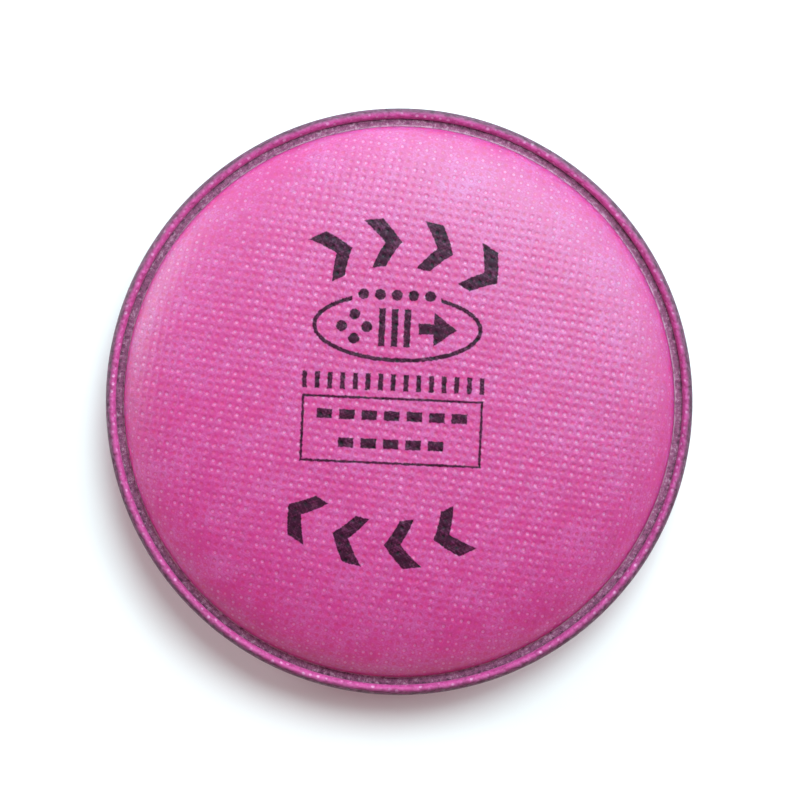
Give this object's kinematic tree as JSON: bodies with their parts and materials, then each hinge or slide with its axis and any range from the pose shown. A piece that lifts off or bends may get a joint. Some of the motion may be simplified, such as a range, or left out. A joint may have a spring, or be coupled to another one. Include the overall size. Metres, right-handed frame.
{
  "type": "respirator particulate filter",
  "caption": "Round pillow-shaped particulate filter disc with a fused rim and a bayonet collar on its rear face, for a respirator facepiece.",
  "frame": {"origin": "centre of the collar's seal face, which is the lowest plane of the disc as it lies on its collar", "axes": "+Z along the disc's axis from the bayonet port towards the front cover; +Y points at the narrow keyed notch of the port, which is the top of the print on the front cover; +X to the right of that print"},
  "size_m": [0.104, 0.104, 0.0183],
  "materials": {
    "cover_fabric": "point-bonded spunbond nonwoven, soft sheen",
    "filter_media": "lofty microfibre, matt",
    "carbon_media": "carbon granules in a nonwoven, matt",
    "scrim_fabric": "thin white spunbond, matt",
    "spacer_fabric": "open high-loft nonwoven, matt",
    "fused_rim": "heat-fused webs, satin with a fine radial knurl",
    "collar_plastic": "moulded polypropylene, satin",
    "baffle_plastic": "moulded polypropylene, satin",
    "adhesive": "hot-melt film, satin"
  },
  "bodies": {
    "root": {"front_cover_web": "cover_fabric", "front_filter_web_outer": "filter_media", "front_filter_web_middle": "filter_media", "front_filter_web_inner": "filter_media", "front_carbon_web": "carbon_media", "front_inner_scrim": "scrim_fabric", "spacer_web": "spacer_fabric", "baffle_plate": "baffle_plastic", "rear_inner_scrim": "scrim_fabric", "rear_carbon_web": "carbon_media", "rear_filter_web_inner": "filter_media", "rear_filter_web_middle": "filter_media", "rear_filter_web_outer": "filter_media", "rear_cover_web": "cover_fabric", "rim_weld": "fused_rim", "front_rim_lip": "cover_fabric", "rear_rim_lip": "cover_fabric", "bayonet_collar": "collar_plastic", "flange_adhesive": "adhesive", "collar_clamp_ring": "collar_plastic"}
  },
  "joints": []
}
